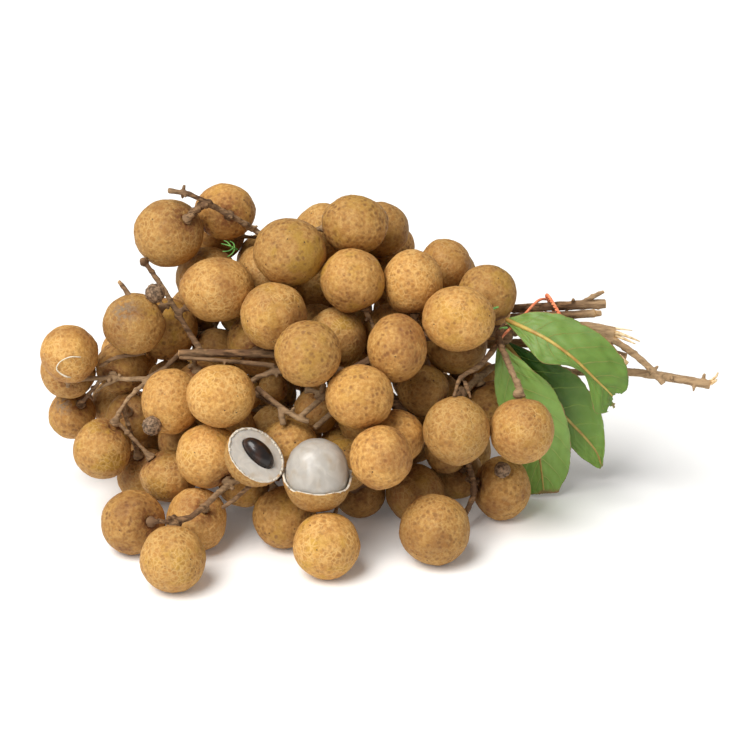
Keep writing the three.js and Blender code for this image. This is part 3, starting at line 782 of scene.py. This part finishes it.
def fruit_from(points):
    """A fruit's own axes and size. One that rests on the surface stands upright and is flat below."""
    rests = min(point.z for point in points) < RESTING_HEIGHT
    axes = UPRIGHT_AXES if rests else LEANING_AXES
    middle, halves = extents(points, axes)
    if rests:
        middle.z += PRESSED_FLAT / -2
        halves[1] += PRESSED_FLAT / 2
    return {"middle": middle, "halves": halves, "axes": axes}


def roundness(fruit, points):
    """How near to the fruit's middle the nearest of the points is, where 1 is the surface."""
    return min(depth_in(fruit, point) for point in points)


def depth_in(fruit, point):
    away = point - fruit["middle"]
    return math.sqrt(sum((away.dot(axis) / half) ** 2 for axis, half in zip(fruit["axes"], fruit["halves"])))


def connected_parts(bm, is_joint):
    """The faces in groups, each joined over the edges for which is_joint holds."""
    found = set()
    for start in list(bm.faces):
        if start in found:
            continue
        found.add(start)
        part, to_visit = [], [start]
        while to_visit:
            face = to_visit.pop()
            part.append(face)
            for edge in filter(is_joint, face.edges):
                for other in edge.link_faces:
                    if other not in found:
                        found.add(other)
                        to_visit.append(other)
        yield part


def take_fruits(bm):
    """Cuts a branch along its creases. Its round islands are the fruits, and the rest is wood."""
    fruits, fruit_faces = [], []
    for island in list(connected_parts(bm, lambda edge: edge.is_convex)):
        if len(island) < FRUIT_FACES:
            continue
        points = [vert.co.copy() for vert in {vert for face in island for vert in face.verts}]
        fruit = fruit_from(points)
        if roundness(fruit, points) > ROUND_ENOUGH:
            fruits.append(fruit)
            fruit_faces += island
    bmesh.ops.delete(bm, geom=fruit_faces, context="FACES")
    bmesh.ops.holes_fill(bm, edges=[edge for edge in bm.edges if edge.is_boundary])
    return fruits


def read_bunch():
    """The wood of each branch as a bmesh, and all the fruits, whether they have a node or not."""
    woods, fruits = {}, []
    for name in BRANCHES:
        woods[name] = merged_copy(name)
        for number, fruit in enumerate(take_fruits(woods[name]), 1):
            fruits.append({**fruit, "name": f"grown_{name}_{number:02d}", "node": None})
    for name in sorted(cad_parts):
        if name.startswith("fruit_"):
            points = [vert.co.copy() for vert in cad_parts[name].data.vertices]
            fruits.append({**fruit_from(points), "name": f"longan_{name[-2:]}", "node": name})
    return woods, fruits


def tree_of(places):
    tree = kdtree.KDTree(len(places))
    for i, place in enumerate(places):
        tree.insert(place, i)
    tree.balance()
    return tree


def find_stems(woods, fruits):
    """Where each fruit's stem ends: the middle of the wood that comes nearest to it."""
    places = [(name, vert.co.copy()) for name, bm in woods.items() for vert in bm.verts]
    tree = tree_of([place for _, place in places])
    for fruit in fruits:
        search = STEM_SEARCH if fruit["halves"][0] > TUCKED_LARGEST else WALL_REACH
        near = tree.find_range(fruit["middle"], max(fruit["halves"]) + search)
        _, nearest = min((depth_in(fruit, places[i][1]), i) for _, i, _ in near)
        fruit["branch"], tip = places[nearest]
        end = [place for place, _, _ in tree.find_range(tip, STEM_WIDTH)]
        fruit["stem_end"] = sum(end, Vector()) / len(end)
        if fruit["node"] in STEM_PLACES:
            fruit["stem_end"] = at(*STEM_PLACES[fruit["node"]])
        fruit["stem_way"] = (fruit["stem_end"] - fruit["middle"]).normalized()


def ball_that_fits(fruits, opened, wood, place):
    """The radius of the largest ball that clears the fruits, the wood and the surface there."""
    room = min((place - fruit["middle"]).length - max(fruit["halves"]) for fruit in fruits)
    for middle in opened:
        room = min(room, (place - middle).length - OPENED_RADIUS)
    return min(room - TUCKED_GAP, wood.find(place)[2] + TWIG_PRESSES_IN, TUCKED_LARGEST, place.z)


def is_walled_in(fruits, place):
    """Whether fruits stand close by on every side and right in front."""
    near = [fruit["middle"] - place for fruit in fruits if (fruit["middle"] - place).length < WALL_REACH]
    for side in (RIGHT, -RIGHT, SLOPE, -SLOPE):
        if not any(away.normalized().dot(side) > WALL_AIM for away in near):
            return False
    return any(away.normalized().dot(OUT) > FRONT_AIM for away in near)


def tuck_in_fruits(fruits, woods):
    """Small fruits in the hollows inside the heap, of which the front shows only dark glimpses."""
    draw = random.Random(TUCKED_SEED)
    places = [vert.co.copy() for bm in woods.values() for vert in bm.verts]
    for twigs in EXTRA_TWIGS.values():
        for points, _, _ in twigs:
            places += smooth_line([at(*point) for point in points], TWIG_STEPS)
    wood = tree_of(places)
    opened = [middle_of("peeled_flesh"), middle_of("half_flesh")]
    low = Vector([min(fruit["middle"][i] for fruit in fruits) for i in range(3)])
    high = Vector([max(fruit["middle"][i] for fruit in fruits) for i in range(3)])
    tries = []
    for _ in range(TUCKED_TRIES):
        place = Vector([draw.uniform(low[i], high[i]) for i in range(3)])
        radius = ball_that_fits(fruits, opened, wood, place)
        behind = (FRONT_MIDDLE - place).dot(OUT)
        if radius > TUCKED_SMALLEST and behind > TUCKED_BEHIND:
            tries.append((radius, place))
    tries.sort(key=lambda found: -found[0])
    tucked = []
    for radius, place in tries:
        apart = all((place - other["middle"]).length > radius + other["halves"][0] + TUCKED_GAP
                    for other in tucked)
        if apart and is_walled_in(fruits, place):
            tucked.append({"middle": place, "halves": [radius] * 3, "axes": LEANING_AXES,
                           "name": f"tucked_{len(tucked) + 1:02d}", "node": None})
    return tucked


# ---- Fruits ----
def own_way(fruit, way):
    """A direction as it is in the fruit's round shape, before its halves stretch it."""
    return Vector([way.dot(axis) / half for axis, half in zip(fruit["axes"], fruit["halves"])]).normalized()


def fineness_of(fruit):
    """How often the icosphere of a fruit is divided: least for the small ones."""
    if fruit["halves"][0] < TUCKED_LARGEST:
        return SMALL_FINENESS
    return OWN_FINENESS if fruit["node"] else GROWN_FINENESS


def husk_relief(way, shift, from_stem):
    """How far the husk stands off its egg, in millimetres: uneven, dimpled at the stem and pebbled."""
    uneven = 0.45 * noise.noise(way * 1.6 + shift) + 0.16 * noise.noise(way * 4.5 + shift)
    dimple = 0.3 * bell(from_stem - 0.75, 0.25) - 1.3 * bell(from_stem, 0.20) - 0.7 * bell(from_stem, 0.45)
    rough_patch = max(0.0, noise.noise(way * 1.9 - shift))
    warts = (0.05 + 0.22 * rough_patch) * noise.noise(way * 15 + shift)
    pebbles = 0.05 * noise.noise(way * 34 + shift)
    return uneven + dimple + warts + pebbles


def make_fruit(fruit, number):
    mood = random.Random(number)
    tone, gold, rust, spots = (mood.random() for _ in range(4))
    if fruit["node"] in GOLDEN_FRUITS:
        gold, rust = 1.0, 0.1
    if fruit["node"] in RUSTY_FRUITS:
        gold, rust = 0.1, 1.0
    scar = own_way(fruit, SCAR_WAY) if fruit["node"] in SCARRED_FRUITS else None
    shift = Vector((number * 7.31, number * 3.17, number * 1.93))
    stem = own_way(fruit, fruit["stem_way"])

    bm = bmesh.new()
    marks = bm.verts.layers.float_color.new("marks")
    kind = bm.verts.layers.float_color.new("kind")
    bmesh.ops.create_icosphere(bm, subdivisions=fineness_of(fruit), radius=1)
    for vert in bm.verts:
        way = vert.co.normalized()
        from_stem = way.angle(stem, 0.0)
        relief = husk_relief(way, shift, from_stem) * MM
        vert.co = fruit["middle"].copy()
        for share, axis, half in zip(way, fruit["axes"], fruit["halves"]):
            vert.co += axis * share * (half + relief)
        vert.co.z = max(vert.co.z, 0.0)
        scarred = bell(way.angle(scar, 0.0), SCAR_SPREAD) if scar else 0.0
        vert[marks] = (bell(from_stem, RUST_SPREAD), scarred, tone, 1)
        vert[kind] = (gold, rust, spots, 1)
    finish_piece(bm, fruit["name"], [HUSK], "husk", [fruit["node"]] if fruit["node"] else ())


# ---- Wood ----
def clear_of_fruits(fruits, place, margin):
    return all(depth_in(fruit, place) * min(fruit["halves"]) > min(fruit["halves"]) + margin
               for fruit in fruits)


def add_collars(woods, fruits):
    """A flared cap of bark where each stem sits in its fruit's dimple."""
    for fruit in fruits:
        end, way = fruit["stem_end"], fruit["stem_way"]
        line = [end + way * step * MM for step, _ in COLLAR]
        sweep(woods[fruit["branch"]], line, [radius * MM for _, radius in COLLAR])


def add_knobs_and_spurs(bm, fruits, draw):
    """Leaf scars swell the twigs here and there, and some carry a broken spur."""
    faces = [face for face in bm.faces if face.calc_area() > SMALLEST_FACE]
    draw.shuffle(faces)
    chosen = faces[:len(faces) // FACES_PER_KNOB]
    spots = [(face.calc_center_median(), face.normal.copy()) for face in chosen]
    for number, (place, way) in enumerate(spots):
        if not clear_of_fruits(fruits, place, 0.5 * MM):
            continue
        add_ball(bm, place - way * 0.6 * MM, draw.uniform(*KNOB_RADII) * MM, 1)
        tip = place + way * draw.uniform(*SPUR_LENGTHS) * MM
        if number % KNOBS_PER_SPUR == 0 and clear_of_fruits(fruits, tip, 1.5 * MM):
            add_limb(bm, [place - way * MM, (place + tip) / 2, tip], 1.0 * MM, 0.6 * MM, 6, 2)


def roughen_bark(piece, cut_ends):
    """Lengthwise ridges and pits, and where the bark is cut through or weathered grey."""
    mesh = piece.data
    marks = mesh.attributes.new("bark", "FLOAT_COLOR", "POINT")
    facings = [vert.normal.copy() for vert in mesh.vertices]
    for vert, way, mark in zip(mesh.vertices, facings, marks.data):
        place = vert.co.copy()
        ridges = noise.noise(Vector((place.x * 180, place.y * 600, place.z * 600)))
        swell = noise.noise(place * 260)
        cut = max((bell((place - end).length, reach) * max(0.0, way.dot(facing))
                   for end, facing, reach in cut_ends), default=0.0)
        vert.co += way * (0.22 * ridges + 0.18 * swell) * (1 - cut) * MM
        bleached = min(1.0, max(0.0, (place.x - BLEACHED_FROM) / BLEACHED_OVER))
        grey = max(0.0, min(1.0, 0.35 + 1.2 * noise.noise(place * 45) + 0.7 * bleached))
        mark.color = (min(1.0, 1.6 * cut), grey, 0, 1)


def make_wood(name, bm, fruits, number):
    draw = random.Random(number)
    add_knobs_and_spurs(bm, fruits, draw)
    for points, radius_from, radius_to in EXTRA_TWIGS.get(name, []):
        add_limb(bm, [at(*point) for point in points], radius_from * MM, radius_to * MM)
    for point, radius in EXTRA_KNOBS.get(name, []):
        add_ball(bm, at(*point), radius * MM)
    bmesh.ops.recalc_face_normals(bm, faces=bm.faces)
    wood = finish_piece(bm, f"wood_{name}", [BARK], "bark", [name])
    remake_skin(wood, BARK_VOXEL, 3)
    ends = [(at(*place), lean_vector(*facing).normalized(), reach * MM)
            for place, facing, reach in CUT_ENDS.get(name, [])]
    roughen_bark(wood, ends)


# ---- Leaves ----
def blade_point(lines, along, across):
    """A place on a bent blade: across it runs -1 at the lower edge, 0 at the rib and 1 at the upper."""
    rib = along_line(lines["rib"], along)
    edge = along_line(lines["upper" if across > 0 else "lower"], along)
    return rib.lerp(edge, abs(across))


def blade_facing(lines, along, across):
    ahead = blade_point(lines, min(along + 0.02, 1), across)
    behind = blade_point(lines, max(along - 0.02, 0), across)
    above = blade_point(lines, along, min(across + 0.1, 1))
    below = blade_point(lines, along, max(across - 0.1, -1))
    return (ahead - behind).cross(above - below).normalized()


def between_veins(along, across):
    """0 on a side vein and 1 midway between two, the veins sweeping towards the tip."""
    swept = along * SIDE_VEINS - VEIN_SWEEP * (abs(across) / 2) ** VEIN_BEND
    return 2 * abs(swept - math.floor(swept + 0.5))


def blade_width(along, across, seed):
    """What share of the blade's width is left where its edge is ragged."""
    notches = max(0.0, noise.noise(Vector((along * 30, 5 * across, seed))))
    return 1 - 0.05 * notches - 0.02 * noise.noise(Vector((along * 90, across, seed)))


def blade_rise(along, across, seed):
    """How far a place stands off the smooth blade, in millimetres."""
    cushions = VEIN_CUSHION * between_veins(along, across) * (1 - abs(across) ** 4)
    wave = EDGE_WAVE * noise.noise(Vector((along * 9, across * 2, seed))) * abs(across) ** 2
    return cushions + wave + BLADE_RIPPLE * noise.noise(Vector((along * 12, across * 6, seed + 3)))


def bite_out(bm, bites):
    bitten = []
    for face in bm.faces:
        middle = face.calc_center_median()
        ragged = 0.7 * noise.noise(middle * 900)
        if any((middle - at(*place)).length < (size + ragged) * MM for place, size in bites):
            bitten.append(face)
    bmesh.ops.delete(bm, geom=bitten, context="FACES")
    loose = [vert for vert in bm.verts if not vert.link_faces]
    bmesh.ops.delete(bm, geom=loose, context="VERTS")


def make_rib(name, lines, toward_viewer, ends):
    line, radii = [], []
    for i in range(RIB_STEPS + 1):
        share = i / RIB_STEPS
        proud = blade_facing(lines, share, 0) * toward_viewer * RIB_STANDS_OUT * MM
        line.append(blade_point(lines, share * ends, 0) + proud)
        radii.append((RIB_AT_BASE + (RIB_AT_TIP - RIB_AT_BASE) * share) * MM)
    bm = bmesh.new()
    sweep(bm, line, radii)
    finish_piece(bm, f"{name}_rib", [RIB], "leaf")


def make_leaf(name, leaf):
    lines = {line: [at(*point) for point in leaf[line]] for line in ("upper", "rib", "lower")}
    toward_viewer = 1 if blade_facing(lines, 0.5, 0).dot(OUT) > 0 else -1
    bm = bmesh.new()
    bm.loops.layers.uv.new("blade")
    along_steps, across_steps = BLADE_STEPS
    bmesh.ops.create_grid(bm, x_segments=along_steps, y_segments=across_steps, size=0.5, calc_uvs=True)
    for vert in bm.verts:
        along, across = vert.co.x + 0.5, vert.co.y * 2
        width = blade_width(along, across, leaf["seed"]) if abs(across) > RAGGED_FROM else 1
        rise = blade_rise(along, across, leaf["seed"]) * MM
        place = blade_point(lines, along, across * width)
        vert.co = place + blade_facing(lines, along, across) * toward_viewer * rise
    bite_out(bm, leaf["bites"])
    blade = finish_piece(bm, f"{name}_blade", [LEAF_FINISHES[name]], "leaf", [name])
    thick = blade.modifiers.new("thickness", "SOLIDIFY")
    thick.thickness = LEAF_THICKNESS
    thick.offset = 0
    apply_modifiers(blade)
    make_rib(name, lines, toward_viewer, leaf["rib_ends"])


# ---- The peeled fruit. Places on the front and sizes are in millimetres ----
TEAR_BELOW = 0.5  # how far below the middle of the flesh the husk is torn
TEAR_FACING = (0.08, 1, 0.62)
RIM_FLARES_OVER = 3.0
RIM_ROUNDS = 3


def full_egg(fruit, way, margin):
    """A point on an egg with fuller shoulders than an ellipsoid, the margin outside its halves."""
    fullness = sum(abs(share) ** FULL_SHOULDERS for share in way) ** (1 / FULL_SHOULDERS)
    place = fruit["middle"].copy()
    for share, axis, half in zip(way, fruit["axes"], fruit["halves"]):
        place += axis * share / fullness * (half + margin)
    return place


def even_out_edge(bm, rounds):
    """Takes the saw-tooth of the mesh out of its open edge."""
    rim = [vert for vert in bm.verts if vert.is_boundary]
    for _ in range(rounds):
        places = []
        for vert in rim:
            beside = [edge.other_vert(vert).co for edge in vert.link_edges if edge.is_boundary]
            places.append(sum(beside, vert.co.copy()) / (1 + len(beside)))
        for vert, place in zip(rim, places):
            vert.co = place


def make_peeled_flesh(egg):
    bm = bmesh.new()
    bmesh.ops.create_icosphere(bm, subdivisions=5, radius=1)
    for vert in bm.verts:
        way = vert.co.normalized()
        relief = 0.3 * noise.noise(way * 1.8) + 0.25 * noise.noise(way * 4)
        vert.co = full_egg(egg, way, relief * MM)
    finish_piece(bm, "peeled_aril", [FLESH], "flesh", ["peeled_flesh"])


def make_torn_cup(egg):
    """The husk that is left below a ragged tear, its rim bent outwards a little."""
    tear_place = egg["middle"] - SLOPE * TEAR_BELOW * MM
    tear_facing = lean_vector(*TEAR_FACING).normalized()
    bm = bmesh.new()
    bmesh.ops.create_icosphere(bm, subdivisions=6, radius=1)
    for vert in bm.verts:
        vert.co = full_egg(egg, vert.co.normalized(), PEEL_GAP + HUSK_THICKNESS)
    torn = []
    for face in bm.faces:
        middle = face.calc_center_median()
        ragged = 1.8 * noise.noise(middle * 190) + 0.7 * noise.noise(middle * 600)
        if (middle - tear_place).dot(tear_facing) > ragged * MM:
            torn.append(face)
    bmesh.ops.delete(bm, geom=torn, context="FACES")
    drop_small_scraps(bm)
    even_out_edge(bm, RIM_ROUNDS)
    for vert in bm.verts:
        height = (vert.co - tear_place).dot(tear_facing)
        flare = bell(min(0.0, height + 0.3 * MM), RIM_FLARES_OVER * MM)
        away = vert.co - egg["middle"]
        away -= SLOPE * away.dot(SLOPE)
        vert.co += away.normalized() * (0.3 * flare + 0.3 * noise.noise(vert.co * 420) - 0.25) * MM
    line_with(finish_piece(bm, "torn_husk_cup", [HUSK, LINING], "husk", ["peeled_husk"]))


def make_peeled_fruit():
    egg = fruit_from([vert.co.copy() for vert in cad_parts["peeled_flesh"].data.vertices])
    make_peeled_flesh(egg)
    make_torn_cup(egg)


def drop_small_scraps(bm):
    """Keeps only the largest connected part."""
    parts = sorted(connected_parts(bm, lambda edge: True), key=len)
    for part in parts[:-1]:
        bmesh.ops.delete(bm, geom=part, context="FACES")


def line_with(husk):
    """Gives a husk its thickness inwards, with the pale lining inside and on its rim."""
    wall = husk.modifiers.new("wall", "SOLIDIFY")
    wall.thickness = HUSK_THICKNESS
    wall.offset = -1
    wall.material_offset = 1
    wall.material_offset_rim = 1
    apply_modifiers(husk)


# ---- The halved fruit. Places on the front and sizes are in millimetres ----
HALF_PLACE = (-46, -31, 30)
HALF_FACING = (0.52, 0.52, 0.68)
HALF_RADIUS = 11.5
HALF_SLIVER = 0.15  # edges left by the cut that are shorter than this are closed up
HALF_UNEVEN = 0.3
HALF_RIM_ROUNDS = 2
FLESH_SINKS = 0.3
FLESH_REACHES = 0.1
FLESH_VOXEL = 0.22
SEED_HALVES = (7.6, 4.3, 4.6)
SEED_ASIDE = (1.4, 1.4, 0)
SEED_SINKS = 1.6
SEED_LIES = (0.7071, -0.7071, 0)
SEED_ROOM = 0.12


def cut_ball(bm, radius, uneven, centre, facing, cut_place):
    """A ball cut through at a place. Gives the edges that the cut made."""
    bmesh.ops.create_icosphere(bm, subdivisions=6, radius=radius, matrix=Matrix.Translation(centre))
    for vert in bm.verts:
        way = (vert.co - centre).normalized()
        vert.co += way * uneven * noise.noise(way * 14) * MM
    geometry = bm.verts[:] + bm.edges[:] + bm.faces[:]
    made = bmesh.ops.bisect_plane(bm, geom=geometry, dist=CUT_TOLERANCE, plane_co=cut_place, plane_no=facing,
                                  clear_outer=True)["geom_cut"]
    return [item for item in made if isinstance(item, bmesh.types.BMEdge)]


def seed_shape(centre, facing, room):
    long_way = lean_vector(*SEED_LIES).normalized()
    lying = Matrix((long_way, facing.cross(long_way), facing)).transposed().to_4x4()
    middle = centre + lean_vector(*SEED_ASIDE) - facing * SEED_SINKS * MM
    size = Matrix.Diagonal((*((half + room) * MM for half in SEED_HALVES), 1))
    shape = Matrix.Translation(middle) @ lying @ size
    bm = bmesh.new()
    bmesh.ops.create_icosphere(bm, subdivisions=5, radius=1, matrix=shape)
    return bm


def make_half_shell(centre, facing):
    bm = bmesh.new()
    cut_ball(bm, HALF_RADIUS * MM + HUSK_THICKNESS, HALF_UNEVEN, centre, facing, centre)
    bmesh.ops.remove_doubles(bm, verts=bm.verts, dist=HALF_SLIVER * MM)
    even_out_edge(bm, HALF_RIM_ROUNDS)
    line_with(finish_piece(bm, "half_shell", [HUSK, LINING], "husk", ["half_husk"]))


def make_half_flesh(centre, facing):
    """Flesh that fills the half, hollowed out where the seed lies."""
    bm = seed_shape(centre, facing, SEED_ROOM)
    hollow = bpy.data.objects.new("hollow", bpy.data.meshes.new("hollow"))
    bm.to_mesh(hollow.data)
    bm.free()
    bm = bmesh.new()
    cut_place = centre - facing * FLESH_SINKS * MM
    rim = cut_ball(bm, (HALF_RADIUS + FLESH_REACHES) * MM, 0.0, centre, facing, cut_place)
    bmesh.ops.contextual_create(bm, geom=rim)
    bmesh.ops.recalc_face_normals(bm, faces=bm.faces)
    flesh = finish_piece(bm, "half_aril", [CUT_FLESH], "flesh", ["half_flesh"])
    bpy.context.scene.collection.objects.link(hollow)
    carve = flesh.modifiers.new("hollow", "BOOLEAN")
    carve.operation = "DIFFERENCE"
    carve.object = hollow
    remake_skin(flesh, FLESH_VOXEL * MM, 4)
    bpy.data.objects.remove(hollow)


def make_halved_fruit():
    centre = at(*HALF_PLACE)
    facing = lean_vector(*HALF_FACING).normalized()
    make_half_shell(centre, facing)
    finish_piece(seed_shape(centre, facing, 0.0), "half_seed", [SEED], "seed", ["seed"])
    make_half_flesh(centre, facing)


# ---- Twine and small things ----
TWINE_PLACE = (77, 20, -18)
TWINE_ALONG = (-0.489, 0.872, 0)
TWINE_HALVES = (14.3, 10)
TWINE_STEPS = 240
STRAND_APART = 0.38
STRAND_RADIUS = 0.46


def make_twine():
    """Two strands twisted together, wound once round the stalks."""
    centre = at(*TWINE_PLACE)
    along = lean_vector(*TWINE_ALONG).normalized()
    aside = along.cross(OUT)
    half_along, half_out = TWINE_HALVES
    bm = bmesh.new()
    for strand in range(2):
        line = []
        for i in range(TWINE_STEPS):
            angle = 2 * math.pi * i / TWINE_STEPS
            twist = TWINE_TWISTS * angle + strand * math.pi
            outward = along * math.cos(angle) + OUT * math.sin(angle)
            place = centre + (along * half_along * math.cos(angle) + OUT * half_out * math.sin(angle)) * MM
            line.append(place + (outward * math.cos(twist) + aside * math.sin(twist)) * STRAND_APART * MM)
        sweep(bm, line, [STRAND_RADIUS * MM] * TWINE_STEPS, 6, closed=True)
    finish_piece(bm, "twine_ring", [TWINE], "twine", ["twine"])
    bm = bmesh.new()
    add_limb(bm, [at(*point) for point in TWINE_TAIL], 0.6 * MM, 0.5 * MM, 6)
    finish_piece(bm, "twine_tail", [TWINE], "twine")


def make_dried_fruitlets():
    for number, (place, radius) in enumerate(DRIED_FRUITLETS, 1):
        bm = bmesh.new()
        middle = at(*place)
        add_ball(bm, middle, radius * MM, 4)
        for vert in bm.verts:
            way = (vert.co - middle).normalized()
            wrinkle = 0.9 * noise.noise(way * 3 + Vector((number, 0, 0))) + 0.5 * noise.noise(way * 9)
            vert.co += way * wrinkle * 0.12 * radius * MM
        finish_piece(bm, f"dried_fruitlet_{number}", [DRIED], "bark")


def make_strands():
    """The pale tendril, the frayed fibres of the cut stalks and the green shoots."""
    for name, finish, slot, strands in STRANDS:
        bm = bmesh.new()
        for points, radius_from, radius_to in strands:
            add_limb(bm, [at(*point) for point in points], radius_from * MM, radius_to * MM, 6)
        finish_piece(bm, name, [finish], slot)


# ---- The bunch ----
add_camera()
add_studio()
woods, fruits = read_bunch()
fruits += tuck_in_fruits(fruits, woods)
find_stems(woods, fruits)
add_collars(woods, fruits)
for number, fruit in enumerate(fruits, 1):
    make_fruit(fruit, number)
for number, (name, bm) in enumerate(woods.items(), 1):
    make_wood(name, bm, fruits, number)
for name, leaf in LEAVES.items():
    make_leaf(name, leaf)
make_peeled_fruit()
make_halved_fruit()
make_twine()
make_dried_fruitlets()
make_strands()
